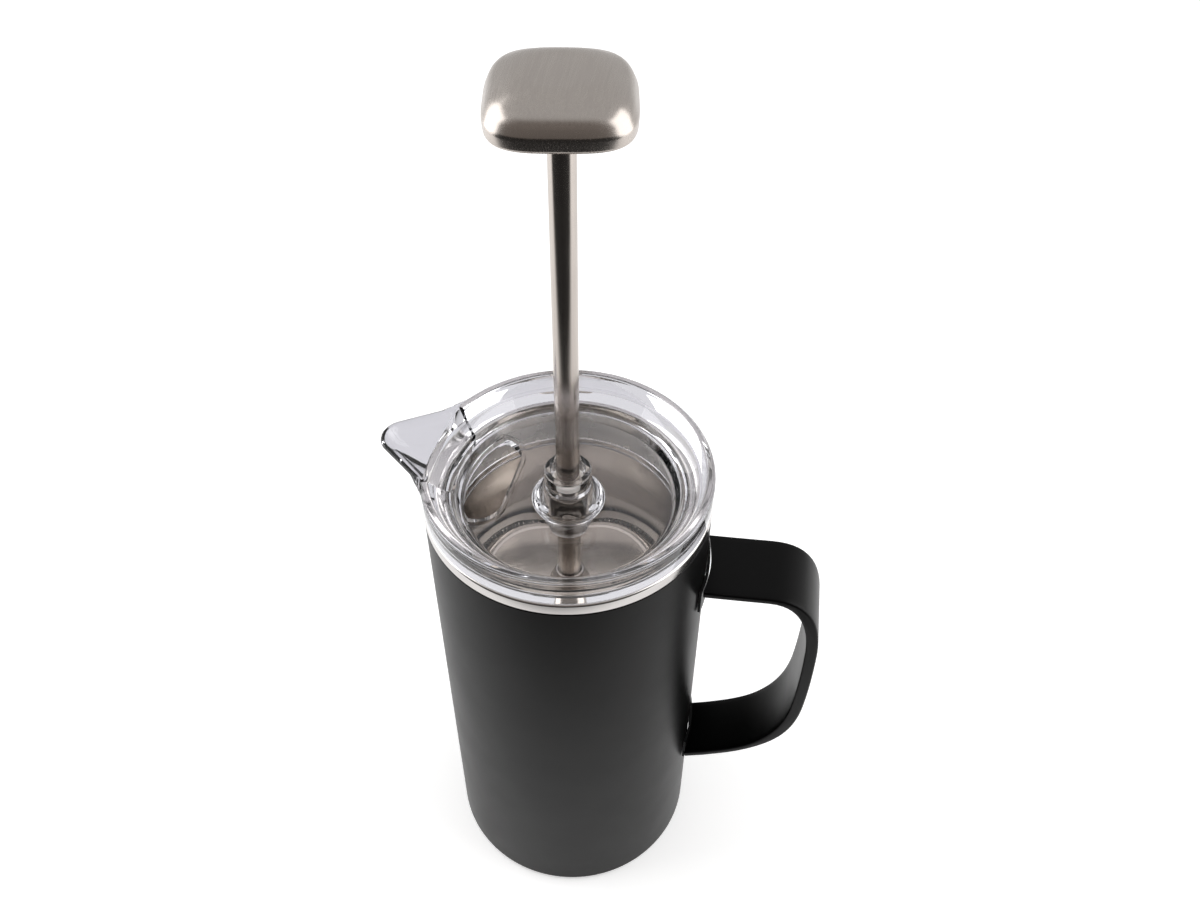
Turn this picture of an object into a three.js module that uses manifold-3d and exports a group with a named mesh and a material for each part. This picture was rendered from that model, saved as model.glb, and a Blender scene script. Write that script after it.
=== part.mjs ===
// French press with a double-walled steel pot, a clear lid and a steel plunger.
// Millimetres, +Z up. The origin is the centre of the base, +X points to the handle and -X to the spout.
// The plunger is drawn raised, with its knob high above the lid.

import * as THREE from 'three';
import { mergeVertices } from 'three/addons/utils/BufferGeometryUtils.js';
import { ConvexGeometry } from 'three/addons/geometries/ConvexGeometry.js';
import Module from 'manifold-3d';

const wasm = await Module();
wasm.setup();

// ---- driving dimensions ----
const POT_RADIUS = 50;
const POT_HEIGHT = 199.7;        // top of the rolled steel rim
const COAT_HEIGHT = 194.7;       // the black coat ends here and the bare rim starts
const WALL = 0.9;                // outer wall thickness
const BORE_RADIUS = 44;          // inside of the steel liner
const LINER_WALL = 0.8;
const LINER_FLOOR = 10;
const BASE_DISC_RADIUS = 40.1;

const STRAP_WIDTH = 27.5;        // at the top
const STRAP_FOOT_WIDTH = 25;     // where the lower arm meets the pot
const STRAP_TOP = 169.2;
const STRAP_REACH = 94.2;
const STRAP_FOOT = 51.4;
const STRAP_ARM = 3;             // thickness of the two arms
const STRAP_GRIP = 4.5;          // thickness of the upright part

const LID_SEAT = 200;
const LID_TOP = 210.5;
const WELL_FLOOR = 196.2;
const FLOOR_THICKNESS = 2.5;
const SKIRT_BOTTOM = 178.5;
const BOSS_TOP = 209.6;
const GUIDE_BOTTOM = 181.5;
const SPOUT_REACH = 67;
const LID_TURN = -6;             // degrees that the lid, as drawn, is turned on the pot

const ROD_RADIUS = 4;
const ROD_BORE = 4.4;
const STUD_RADIUS = 2.5;
const KNOB_BOTTOM = 342.6;
const KNOB_HALF_WIDTH = 20;
const KNOB_SQUARENESS = 3.6;     // power of the superellipse that the knob's outline follows
const KNOB_TURN = 8.5;           // degrees that the knob, as drawn, is turned on the handle's axis

const PLATE_TOP = 148;           // the filter's top plate with the plunger raised as drawn
const SPRING_RADIUS = 41.1;
const SPRING_WIRE = 1.6;

const GAP = 0.3;                 // left between pieces that touch
const AROUND = 40;               // sides of the pot and the lid
const AROUND_FILTER = 32;
const AROUND_SMALL = 20;

// ---- finishes ----
const finish = {
  blackCoat: { color: 0x242325, roughness: 0.62, metalness: 0.1 },
  brushedSteel: { color: 0xa39b93, roughness: 0.36, metalness: 1 },
  plainSteel: { color: 0xb8b3ad, roughness: 0.3, metalness: 1 },
  clearPlastic: { color: 0xeef0f2, roughness: 0.06, metalness: 0 },
  silicone: { color: 0xe4e4e2, roughness: 0.4, metalness: 0 },
};

const press = new THREE.Group();

function piece(name, geometry, look) {
  const mesh = new THREE.Mesh(geometry, new THREE.MeshStandardMaterial(look));
  mesh.name = name;
  press.add(mesh);
}

// ---- shape helpers ----
// Shared vertices are merged, collapsed triangles are dropped and the faces are turned outward.
function closed(geometry) {
  const bare = geometry.clone();
  bare.deleteAttribute('normal');
  bare.deleteAttribute('uv');
  const merged = mergeVertices(bare, 1e-3);
  const position = merged.attributes.position;
  const corner = (i) => new THREE.Vector3().fromBufferAttribute(position, i);
  const faces = [];
  let volume = 0;
  for (let i = 0; i < merged.index.count; i += 3) {
    const [a, b, c] = [0, 1, 2].map((k) => merged.index.getX(i + k));
    if (a === b || b === c || c === a) continue;
    faces.push([a, b, c]);
    volume += corner(a).dot(corner(b).cross(corner(c)));
  }
  const outward = volume > 0 ? faces : faces.map(([a, b, c]) => [a, c, b]);
  merged.setIndex(outward.flat());
  merged.computeVertexNormals();
  return merged;
}

// A closed outline of [radius, height] points, turned about the Z axis.
function turned(outline, sides = AROUND) {
  const points = outline.map(([r, z]) => new THREE.Vector2(r, z));
  if (outline[0][0] > 0) points.push(points[0].clone());
  return closed(new THREE.LatheGeometry(points, sides).rotateX(Math.PI / 2));
}

// A plan outline raised from one height to another.
function raised(points, bottom, top, steps = 6) {
  const shape = points instanceof THREE.Shape ? points : new THREE.Shape(points);
  const body = new THREE.ExtrudeGeometry(shape, { depth: top - bottom, bevelEnabled: false, curveSegments: steps });
  return closed(body.translate(0, 0, bottom));
}

// A rounded shoulder or corner between two directions given in degrees.
function corner(centreR, centreZ, radius, from, to, steps = 3) {
  return Array.from({ length: steps + 1 }, (_, i) => {
    const angle = THREE.MathUtils.degToRad(from + ((to - from) * i) / steps);
    return [centreR + radius * Math.cos(angle), centreZ + radius * Math.sin(angle)];
  });
}

function toManifold(geometry) {
  const triVerts = Uint32Array.from(geometry.index.array);
  const vertProperties = Float32Array.from(geometry.attributes.position.array);
  return new wasm.Manifold(new wasm.Mesh({ numProp: 3, vertProperties, triVerts }));
}

function fromManifold(solid) {
  const mesh = solid.getMesh();
  const geometry = new THREE.BufferGeometry();
  geometry.setAttribute('position', new THREE.BufferAttribute(Float32Array.from(mesh.vertProperties), 3));
  geometry.setIndex(Array.from(mesh.triVerts));
  return closed(geometry);
}

function cut(geometry, ...tools) {
  return fromManifold(tools.reduce((solid, tool) => solid.subtract(toManifold(tool)), toManifold(geometry)));
}

function join(geometry, ...others) {
  return fromManifold(others.reduce((solid, other) => solid.add(toManifold(other)), toManifold(geometry)));
}

function common(geometry, other) {
  return fromManifold(toManifold(geometry).intersect(toManifold(other)));
}

const turn = (degrees) => THREE.MathUtils.degToRad(degrees);

// A turned piece pushed out from a circle to a rounded square.
function squared(outline, power, sides) {
  const geometry = turned(outline, sides);
  const position = geometry.attributes.position;
  for (let i = 0; i < position.count; i++) {
    const [x, y] = [position.getX(i), position.getY(i)];
    const reach = Math.hypot(x, y);
    if (reach < 1e-6) continue;
    const [c, s] = [Math.abs(x) / reach, Math.abs(y) / reach];
    const stretch = (c ** power + s ** power) ** (-1 / power);
    const blend = THREE.MathUtils.smoothstep(reach, 0.3 * KNOB_HALF_WIDTH, 0.8 * KNOB_HALF_WIDTH);
    const factor = 1 + (stretch - 1) * blend;
    position.setXY(i, x * factor, y * factor);
  }
  geometry.computeVertexNormals();
  return geometry;
}

// ---- pot ----
const EDGE = 3;                  // radius of the pot's bottom edge
piece('outer_shell', turned([
  [BASE_DISC_RADIUS + GAP, 0],
  ...corner(POT_RADIUS - EDGE, EDGE, EDGE, -90, 0),
  [POT_RADIUS, COAT_HEIGHT],
  [POT_RADIUS - WALL, COAT_HEIGHT],
  ...corner(POT_RADIUS - EDGE, EDGE, EDGE - WALL, 0, -90),
  [BASE_DISC_RADIUS + GAP, WALL],
]), finish.blackCoat);

const LINER_CORNER = 6;
const RIM_INSIDE = POT_RADIUS - WALL - GAP;
piece('inner_vessel', turned([
  [0, LINER_FLOOR],
  ...corner(BORE_RADIUS - LINER_CORNER, LINER_FLOOR + LINER_CORNER, LINER_CORNER, -90, 0),
  [BORE_RADIUS, POT_HEIGHT - 2],
  ...corner(BORE_RADIUS + 2, POT_HEIGHT - 2, 2, 180, 90, 2),
  ...corner(POT_RADIUS - 2, POT_HEIGHT - 2, 2, 90, 0, 2),
  [POT_RADIUS, COAT_HEIGHT + GAP],
  [RIM_INSIDE, COAT_HEIGHT + GAP],
  [RIM_INSIDE - 1.2, POT_HEIGHT - 2.6],
  [BORE_RADIUS + LINER_WALL + 0.6, POT_HEIGHT - 3.2],
  [BORE_RADIUS + LINER_WALL, POT_HEIGHT - 5],
  ...corner(BORE_RADIUS - LINER_CORNER, LINER_FLOOR + LINER_CORNER, LINER_CORNER + LINER_WALL, 0, -90),
  [0, LINER_FLOOR - LINER_WALL],
]), finish.plainSteel);

const PORT = { x: 22, radius: 2.6 };
const port = new THREE.CylinderGeometry(PORT.radius, PORT.radius, 6, AROUND_SMALL)
  .rotateX(Math.PI / 2).translate(PORT.x, 0, 1);
piece('base_plate', cut(turned([
  [0, 0], [11, 0], [12.5, 0.8], [33, 0.8], [34.5, 0], [BASE_DISC_RADIUS, 0],
  [BASE_DISC_RADIUS, WALL], [35, WALL], [33.5, WALL + 0.8], [12, WALL + 0.8], [10.5, WALL], [0, WALL],
]), closed(port)), finish.blackCoat);

piece('evacuation_plug', turned([
  [0, 1], [PORT.radius - GAP, 1], [PORT.radius - GAP, 2.4], [PORT.radius - 1.2, 3.2], [0, 3.2],
], AROUND_SMALL).translate(PORT.x, 0, 0), finish.plainSteel);

piece('getter_capsule', turned([
  [0, WALL + GAP], [8, WALL + GAP], [8, 3.6], [7, 4.6], [0, 4.6],
], AROUND_SMALL), finish.plainSteel);

// ---- handle ----
// The strap's outer line seen from the side: nearly flat on top, round at the corner, sloping back to its foot.
function strapLine() {
  const start = POT_RADIUS - 3;  // inside the wall's radius, where the strap's ends are trimmed to a curve
  const [top, reach, foot] = [STRAP_TOP, STRAP_REACH, STRAP_FOOT];
  const line = new THREE.Path();
  line.moveTo(start, top - 1.1);
  line.lineTo(73, top);
  line.bezierCurveTo(reach - 6.8, top + 0.6, reach - 1.2, 158.6, reach - 0.3, 140);
  line.bezierCurveTo(reach + 0.2, 128, reach, 112, reach - 1, 100);
  line.bezierCurveTo(reach - 2.6, foot + 32.4, reach - 7.7, foot + 23.6, 77, foot + 15.6);
  line.quadraticCurveTo(70.5, foot + 10.2, 62, foot + 6.4);
  line.lineTo(start, foot - 0.8);
  return line.getPoints(6);
}

// The inner line lies one thickness inside the outer one, and the strap is thickest where a hand grips it.
function insideOf(outer) {
  return outer.map((point, i) => {
    const along = outer[Math.min(i + 1, outer.length - 1)].clone().sub(outer[Math.max(i - 1, 0)]).normalize();
    const grip = THREE.MathUtils.smoothstep(point.x, 74, STRAP_REACH - 2);
    const thickness = THREE.MathUtils.lerp(STRAP_ARM, STRAP_GRIP, grip);
    return new THREE.Vector2(point.x + along.y * thickness, point.y - along.x * thickness);
  });
}

const outerLine = strapLine();
const strapOutline = new THREE.Shape([...outerLine, ...insideOf(outerLine).reverse()]);
const EDGE_ROUND = 0.8;
const strap = new THREE.ExtrudeGeometry(strapOutline, {
  depth: STRAP_WIDTH - 2 * EDGE_ROUND, bevelEnabled: true, bevelSegments: 1,
  bevelThickness: EDGE_ROUND, bevelSize: EDGE_ROUND, bevelOffset: -EDGE_ROUND,
}).rotateX(Math.PI / 2).translate(0, STRAP_WIDTH / 2 - EDGE_ROUND, 0);
const strapPosition = strap.attributes.position;
for (let i = 0; i < strapPosition.count; i++) {
  const rise = THREE.MathUtils.smoothstep(strapPosition.getZ(i), STRAP_FOOT, 140);
  const narrowing = THREE.MathUtils.lerp(STRAP_FOOT_WIDTH / STRAP_WIDTH, 1, rise);
  strapPosition.setY(i, strapPosition.getY(i) * narrowing);
}
const potClearance = turned([[0, 0], [POT_RADIUS + 1.6, 0], [POT_RADIUS + 1.6, 190], [0, 190]]);
piece('handle_strap', cut(closed(strap), potClearance), finish.blackCoat);

// Curved pads between the wall and the strap's two ends.
function saddle(bottom, top, width) {
  const ring = turned([
    [POT_RADIUS + GAP, bottom], [POT_RADIUS + 1.3, bottom], [POT_RADIUS + 1.3, top], [POT_RADIUS + GAP, top],
  ]);
  const sector = new THREE.BoxGeometry(POT_RADIUS, width, top - bottom + 2)
    .translate(POT_RADIUS, 0, (bottom + top) / 2);
  return common(ring, closed(sector));
}
piece('handle_upper_saddle', saddle(STRAP_TOP - 13, STRAP_TOP - 1.2, STRAP_WIDTH - 1), finish.blackCoat);
piece('handle_lower_saddle', saddle(STRAP_FOOT + 0.6, STRAP_FOOT + 12, STRAP_FOOT_WIDTH - 1), finish.blackCoat);

// ---- lid ----
const WELL_RADIUS = 36.5;
const FLOOR_UNDER = WELL_FLOOR - FLOOR_THICKNESS;
const lidBody = turned([
  [39.9, SKIRT_BOTTOM], [42.6, SKIRT_BOTTOM], [42.6, 181.2], [41.2, 181.5], [41.2, 196.3],
  [42.6, 196.6], [42.6, 199.4], [43.4, LID_SEAT], [49, LID_SEAT], [POT_RADIUS, LID_SEAT + 1],
  [POT_RADIUS, LID_TOP - 2.2], [49.7, LID_TOP - 1], [48.9, LID_TOP - 0.2], [47, LID_TOP - 0.1],
  [46.2, LID_TOP - 1.2], [44.2, 206], [41.4, 203.2], [39, 200.4], [37.2, 198],
  [WELL_RADIUS, WELL_FLOOR + 0.6], [WELL_RADIUS - 1.4, WELL_FLOOR], [12.6, WELL_FLOOR], [12, WELL_FLOOR + 0.9],
  [10.2, 199.6], [8.5, 201.8], [8.1, 203.4], [8.1, BOSS_TOP - 0.5], [7.6, BOSS_TOP], [6, BOSS_TOP],
  [5.8, 203.4], [ROD_BORE, 202.6],
  [ROD_BORE, GUIDE_BOTTOM], [6.6, GUIDE_BOTTOM], [7.4, 182.4], [11.6, 190.6], [13, FLOOR_UNDER],
  [37.4, FLOOR_UNDER], [38.4, FLOOR_UNDER + 1], [39.1, 198.6], [39.9, 198.6],
]);

// The beak has straight sides that would meet at an apex, a round tip, and walls that lean in below its edge.
const BEAK_SIDE = turn(35.5);    // between each side and the beak's centre line
const BEAK_TIP = 8.4;            // radius of the tip
const BEAK_ROOT = 43;            // the beak starts this far out, inside the rim
function beakPlan(inset, shorten, height) {
  const sine = Math.sin(BEAK_SIDE);
  const reach = SPOUT_REACH - shorten;
  const radius = BEAK_TIP - Math.min(inset, 4);
  const apex = reach - radius + radius / sine;
  const tip = corner(radius - reach, 0, radius, 125.5, 234.5, 6);
  const root = (apex - BEAK_ROOT) * Math.tan(BEAK_SIDE);
  return [[-BEAK_ROOT, root], ...tip, [-BEAK_ROOT, -root]].map(([x, y]) => new THREE.Vector3(x, y, height));
}
const hull = (...outlines) => closed(new ConvexGeometry(outlines.flat()));
const beakOutside = hull(
  beakPlan(0, 0, LID_TOP - 0.5), beakPlan(0.2, 0.2, LID_TOP - 1.4), beakPlan(4, 4, LID_TOP - 6),
  beakPlan(4, 14, LID_SEAT + 1),
);
const SILL = { x: -46.2, height: 205.4 };
const gateCorners = [[SILL.x, LID_TOP + 1], [SILL.x, SILL.height], [-38, SILL.height - 6], [-38, LID_TOP + 1]];
const gate = hull(gateCorners.flatMap(([x, z]) => [new THREE.Vector3(x, 17.6, z), new THREE.Vector3(x, -17.6, z)]));
const beyondSill = new THREE.BoxGeometry(40, 60, 20).translate(SILL.x - 19.9, 0, SILL.height + 5);
const beakChannel = common(hull(
  beakPlan(1.6, 1.6, LID_TOP + 1), beakPlan(1.6, 1.6, LID_TOP - 0.9), beakPlan(4, 5.6, LID_TOP - 4),
  beakPlan(4, 14, SILL.height),
), closed(beyondSill));

// The pour opening is a rounded D in the well's floor, next to the wall on the spout's side.
const OPENING = { near: 20.6, far: 36.2, halfWidth: 20, round: 9 };
function pourOutline(grow) {
  const outline = new THREE.Shape();
  const [x0, x1] = [-OPENING.near + grow, -OPENING.far - grow];
  const [w, r] = [OPENING.halfWidth + grow, OPENING.round + grow];
  outline.moveTo(x0, w - r);
  outline.absarc(x0 - r, w - r, r, 0, Math.PI / 2, false);
  outline.quadraticCurveTo(x1 + 3, w - 2, x1 + 1.8, w - 8);
  outline.quadraticCurveTo(x1 - 1.8, 0, x1 + 1.8, 8 - w);
  outline.quadraticCurveTo(x1 + 3, 2 - w, x0 - r, -w);
  outline.absarc(x0 - r, r - w, r, -Math.PI / 2, 0, false);
  return outline;
}
const insideWell = turned([[0, FLOOR_UNDER + 0.4], [37, FLOOR_UNDER + 0.4], [37, 199], [0, 199]]);
const collar = common(raised(pourOutline(1.5), WELL_FLOOR - 1, WELL_FLOOR + 1.6), insideWell);
const pourCut = common(raised(pourOutline(0), FLOOR_UNDER - 2, WELL_FLOOR + 3), turned([
  [0, FLOOR_UNDER - 2], [36.4, FLOOR_UNDER - 2], [36.4, WELL_FLOOR + 3], [0, WELL_FLOOR + 3],
]));
const lid = cut(join(cut(join(lidBody, beakOutside), beakChannel, gate), collar), pourCut);
piece('lid', lid.rotateZ(turn(LID_TURN)), finish.clearPlastic);

piece('lid_gasket', turned([
  [41.5, 181.9], [42.5, 181.9], [42.5, 182.6], [43.5, 183.4], [42.5, 184.2], [42.5, 187.4], [43.5, 188.2],
  [42.5, 189], [42.5, 192.2], [43.5, 193], [42.5, 193.8], [42.5, 195.9], [41.5, 195.9],
]), finish.silicone);

piece('rod_seal', turned([
  [4.3, 203.8], [5.4, 203.8], [5.4, 205.8], [4.3, 205.8],
], AROUND_SMALL), finish.silicone);

// ---- plunger ----
const PLATE_UNDER = PLATE_TOP - 0.8;
const ROD_FOOT = PLATE_TOP + GAP;
piece('plunger_rod', turned([
  [0, PLATE_TOP - 7.6], [STUD_RADIUS, PLATE_TOP - 7.6], [STUD_RADIUS, ROD_FOOT], [ROD_RADIUS, ROD_FOOT],
  [ROD_RADIUS, KNOB_BOTTOM + 2], [STUD_RADIUS, KNOB_BOTTOM + 2], [STUD_RADIUS, KNOB_BOTTOM + 9.8],
  [0, KNOB_BOTTOM + 9.8],
], AROUND_SMALL), finish.brushedSteel);

const K = KNOB_BOTTOM;
piece('knob_shell', squared([
  [0, K + 12.8], [8, K + 12.7], [12.6, K + 12.2], [15.8, K + 11], [18, K + 9], [19.4, K + 6.6], [20, K + 4],
  [19.8, K + 1.8], [19, K + 0.5], [17.6, K], [17.2, K + 1.5], [18.3, K + 2.4], [18.8, K + 4], [18.2, K + 6.2],
  [16.9, K + 8.2], [14.9, K + 9.9], [12.2, K + 11], [7.8, K + 11.5], [0, K + 11.6],
], KNOB_SQUARENESS, AROUND_FILTER).rotateZ(turn(KNOB_TURN)), finish.brushedSteel);

piece('knob_base_plate', squared([
  [ROD_RADIUS + GAP, K + 0.2], [16.9, K + 0.2], [16.9, K + 1.2], [ROD_RADIUS + GAP, K + 1.2],
], KNOB_SQUARENESS, AROUND_FILTER).rotateZ(turn(KNOB_TURN)), finish.brushedSteel);

piece('knob_insert', turned([
  [STUD_RADIUS + GAP, K + 2.3], [5.4, K + 2.3], [5.4, K + 8.6], [6.6, K + 9.6], [6.6, K + 10.8],
  [STUD_RADIUS + GAP, K + 10.8],
], AROUND_SMALL), finish.plainSteel);

piece('rod_collar', turned([
  [ROD_RADIUS + GAP, PLATE_TOP + GAP], [7.4, PLATE_TOP + GAP], [7.2, PLATE_TOP + 2.4], [6.4, PLATE_TOP + 5],
  [5.4, PLATE_TOP + 7.6], [ROD_RADIUS + GAP, PLATE_TOP + 8.4],
], AROUND_SMALL), finish.brushedSteel);

// ---- filter ----
const STEP_RADIUS = 33;
piece('filter_top_plate', turned([
  [STUD_RADIUS + GAP, PLATE_UNDER], [STEP_RADIUS - 0.4, PLATE_UNDER], [38.6, PLATE_TOP - 6.2],
  [39.3, PLATE_TOP - 5.9], [STEP_RADIUS + 0.6, PLATE_TOP + 0.4], [STEP_RADIUS - 0.6, PLATE_TOP + 0.5],
  [STEP_RADIUS - 1.6, PLATE_TOP], [STUD_RADIUS + GAP, PLATE_TOP],
], AROUND_FILTER), finish.plainSteel);

const SPRING_HEIGHT = PLATE_TOP - 7.4;
piece('coil_spring', turned(
  corner(SPRING_RADIUS, SPRING_HEIGHT, SPRING_WIRE, 0, 324, 9), AROUND_FILTER,
), finish.plainSteel);

const MESH_UNDER = PLATE_UNDER - 0.6;
piece('mesh_screen', turned([
  [STUD_RADIUS + GAP, MESH_UNDER], [STEP_RADIUS - 0.9, MESH_UNDER], [38.3, SPRING_HEIGHT - 2.4],
  [42.4, SPRING_HEIGHT - 2.4], [43.4, SPRING_HEIGHT - 1.4], [43.4, SPRING_HEIGHT + 2], [43.1, SPRING_HEIGHT + 2],
  [43.1, SPRING_HEIGHT - 1.2], [42.2, SPRING_HEIGHT - 2.1], [38.6, SPRING_HEIGHT - 2.1],
  [STEP_RADIUS - 0.7, MESH_UNDER + 0.3], [STUD_RADIUS + GAP, MESH_UNDER + 0.3],
], AROUND_FILTER), finish.plainSteel);

const CROSS_TOP = MESH_UNDER - GAP;
const CROSS = { radius: 31, thickness: 0.9, rim: 4, hub: 10, spokes: 6, spokeWidth: 5 };
// One opening of the cross plate: a ring sector between two spokes.
function crossWindow(index) {
  const outline = new THREE.Shape();
  const pitch = (2 * Math.PI) / CROSS.spokes;
  const [r0, r1] = [CROSS.hub, CROSS.radius - CROSS.rim];
  const [a0, a1] = [r0, r1].map((r) => CROSS.spokeWidth / 2 / r);
  outline.absarc(0, 0, r1, a1, pitch - a1, false);
  outline.absarc(0, 0, r0, pitch - a0, a0, true);
  return raised(outline, CROSS_TOP - 3, CROSS_TOP + 1).rotateZ(index * pitch);
}
const windows = Array.from({ length: CROSS.spokes }, (_, i) => crossWindow(i));
piece('cross_plate', cut(turned([
  [STUD_RADIUS + GAP, CROSS_TOP - CROSS.thickness], [CROSS.radius, CROSS_TOP - CROSS.thickness],
  [CROSS.radius, CROSS_TOP], [STUD_RADIUS + GAP, CROSS_TOP],
], AROUND_FILTER), ...windows), finish.plainSteel);

const HUB_TOP = CROSS_TOP - CROSS.thickness - GAP;
piece('cross_plate_hub', turned([
  [STUD_RADIUS + GAP, HUB_TOP - 5], [6, HUB_TOP - 5], [7, HUB_TOP - 4], [7, HUB_TOP - 1], [8.4, HUB_TOP],
  [STUD_RADIUS + GAP, HUB_TOP],
], AROUND_SMALL), finish.plainSteel);

export default press;
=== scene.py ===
"""Coffee press: smooth steel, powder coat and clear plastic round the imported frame.

Each group of pieces has an operator, and main() runs them in order.
"""

import math

import bmesh
import bpy
from bpy.props import FloatProperty, FloatVectorProperty, IntProperty, PointerProperty
from mathutils import Matrix, Vector


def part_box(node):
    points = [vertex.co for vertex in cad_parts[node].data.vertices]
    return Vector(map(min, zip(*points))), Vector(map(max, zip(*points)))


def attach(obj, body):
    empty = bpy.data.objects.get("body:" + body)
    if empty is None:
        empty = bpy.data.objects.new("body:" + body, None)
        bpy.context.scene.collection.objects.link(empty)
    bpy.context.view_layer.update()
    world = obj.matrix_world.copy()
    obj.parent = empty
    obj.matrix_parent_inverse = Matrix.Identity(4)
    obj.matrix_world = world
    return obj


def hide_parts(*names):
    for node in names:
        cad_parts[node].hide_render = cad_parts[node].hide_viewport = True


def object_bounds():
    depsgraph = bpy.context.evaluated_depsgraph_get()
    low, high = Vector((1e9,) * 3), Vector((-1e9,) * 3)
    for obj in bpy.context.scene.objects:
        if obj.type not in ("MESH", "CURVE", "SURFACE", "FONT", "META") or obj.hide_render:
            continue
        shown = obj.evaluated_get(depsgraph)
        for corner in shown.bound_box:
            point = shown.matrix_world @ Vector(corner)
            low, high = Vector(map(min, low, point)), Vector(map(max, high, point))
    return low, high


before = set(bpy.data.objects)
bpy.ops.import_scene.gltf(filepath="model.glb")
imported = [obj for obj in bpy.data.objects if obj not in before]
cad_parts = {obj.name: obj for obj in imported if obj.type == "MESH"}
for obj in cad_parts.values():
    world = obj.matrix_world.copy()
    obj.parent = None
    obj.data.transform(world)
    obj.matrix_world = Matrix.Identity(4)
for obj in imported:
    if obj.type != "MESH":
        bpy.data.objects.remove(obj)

bl_info = {
    "name": "Coffee press",
    "version": (1, 0, 0),
    "blender": (4, 5, 0),
    "location": "View3D > Sidebar > Press",
    "description": "Builds the visible pieces of a double-walled coffee press on its packed frame",
    "category": "Object",
}

MM = 0.001
CAD_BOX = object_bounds()


def millimetres(node):
    """The lowest and highest corner of a CAD node, in millimetres."""
    low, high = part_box(node)
    return low / MM, high / MM


# ---- places read from the frame, in millimetres ----
POT_RADIUS = millimetres("outer_shell")[1].x
COAT_TOP = millimetres("outer_shell")[1].z
RIM_TOP = millimetres("inner_vessel")[1].z
LINER_UNDER = millimetres("inner_vessel")[0].z
LID_TOP = millimetres("lid")[1].z + 0.1
SKIRT_BOTTOM = millimetres("lid")[0].z
LID_SEAT = RIM_TOP + 0.3
ROD_RADIUS = millimetres("plunger_rod")[1].x
ROD_TOP = millimetres("plunger_rod")[1].z
ROD_BOTTOM = millimetres("plunger_rod")[0].z
KNOB_BOTTOM = millimetres("knob_shell")[0].z
STRAP_TOP = millimetres("handle_strap")[1].z
STRAP_REACH = millimetres("handle_strap")[1].x
COLLAR_BOTTOM = millimetres("rod_collar")[0].z
PLATE_TOP = COLLAR_BOTTOM - 0.3

# ---- sizes of details, in millimetres ----
WALL = 0.9
LINER_WALL = 0.8
BORE_RADIUS = 44
LINER_CORNER = 6
BASE_DISC_RADIUS = 40.1
GAP = 0.3
WELL_FLOOR = 196.2
FLOOR_THICKNESS = 2.5
FLOOR_UNDER = WELL_FLOOR - FLOOR_THICKNESS
BOSS_TOP = 209.6
GUIDE_BOTTOM = 181.5
SPOUT_REACH = 67
LID_TURN = math.radians(-6)
KNOB_TURN = math.radians(8.5)
KNOB_SQUARENESS = 3.6
STRAP_FOOT = 51.4
STRAP_ARM = 3
STRAP_GRIP = 4.5
STRAP_WIDTH = 27.5
STRAP_FOOT_WIDTH = 25
SHOULDER = 73
GRIP_TOP = 140
STUD_RADIUS = 2.5
PAD_TOP = 1.3
KNOB_HALF_WIDTH = 20
PLASTIC_IOR = 1.49
SILICONE_IOR = 1.41


# ---- what a user would change ----
class PressSizes(bpy.types.PropertyGroup):
    around: IntProperty(name="Sides", description="Steps round the pot and the lid", default=144, min=24)
    around_small: IntProperty(name="Sides, small", description="Steps round the rod and collar",
                              default=64, min=12)
    edge: FloatProperty(name="Strap edge", description="Rounding of the handle's edges", default=0.0009,
                        unit="LENGTH")
    coil_turns: IntProperty(name="Coil turns", description="Turns of the filter's coil spring", default=118)
    coil_wire: FloatProperty(name="Coil wire", description="Radius of the spring's wire", default=0.00026,
                             unit="LENGTH", precision=5)
    weave: FloatProperty(name="Mesh pitch", description="Distance between wires of the filter mesh",
                         default=0.0004, unit="LENGTH", precision=5)


class PressFinishes(bpy.types.PropertyGroup):
    coat: FloatVectorProperty(name="Powder coat", description="Colour of the matt coat", subtype="COLOR",
                              default=(0.0012, 0.0011, 0.0012))
    brushed: FloatVectorProperty(name="Brushed steel", description="Colour of the knob and rod",
                                 subtype="COLOR",
                                 default=(0.50, 0.455, 0.42))
    liner: FloatVectorProperty(name="Liner steel", description="Colour of the pot's inner wall",
                               subtype="COLOR",
                               default=(0.64, 0.615, 0.60))
    sheet: FloatVectorProperty(name="Filter steel", description="Colour of the filter's plates",
                               subtype="COLOR",
                               default=(0.72, 0.65, 0.57))
    clear: FloatVectorProperty(name="Clear plastic", description="Tint of the lid", subtype="COLOR",
                               default=(0.985, 0.985, 0.995))
    silicone: FloatVectorProperty(name="Silicone", description="Tint of the seals", subtype="COLOR",
                                  default=(0.95, 0.925, 0.89))


def sizes():
    return bpy.context.scene.press_sizes


def finishes():
    return bpy.context.scene.press_finishes


# ---- shader wiring ----
class Wire:
    """A socket that can be used in Python arithmetic. Each operation adds a Math node."""

    def __init__(self, graph, socket):
        self.graph = graph
        self.socket = socket

    def maths(self, operation, *others):
        return self.graph.add("Math", {"operation": operation}, self, *others)

    def __add__(self, other):
        return self.maths("ADD", other)

    def __rsub__(self, other):
        return self.graph.add("Math", {"operation": "SUBTRACT"}, other, self)

    def __mul__(self, other):
        return self.maths("MULTIPLY", other)

    __radd__ = __add__
    __rmul__ = __mul__


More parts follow.
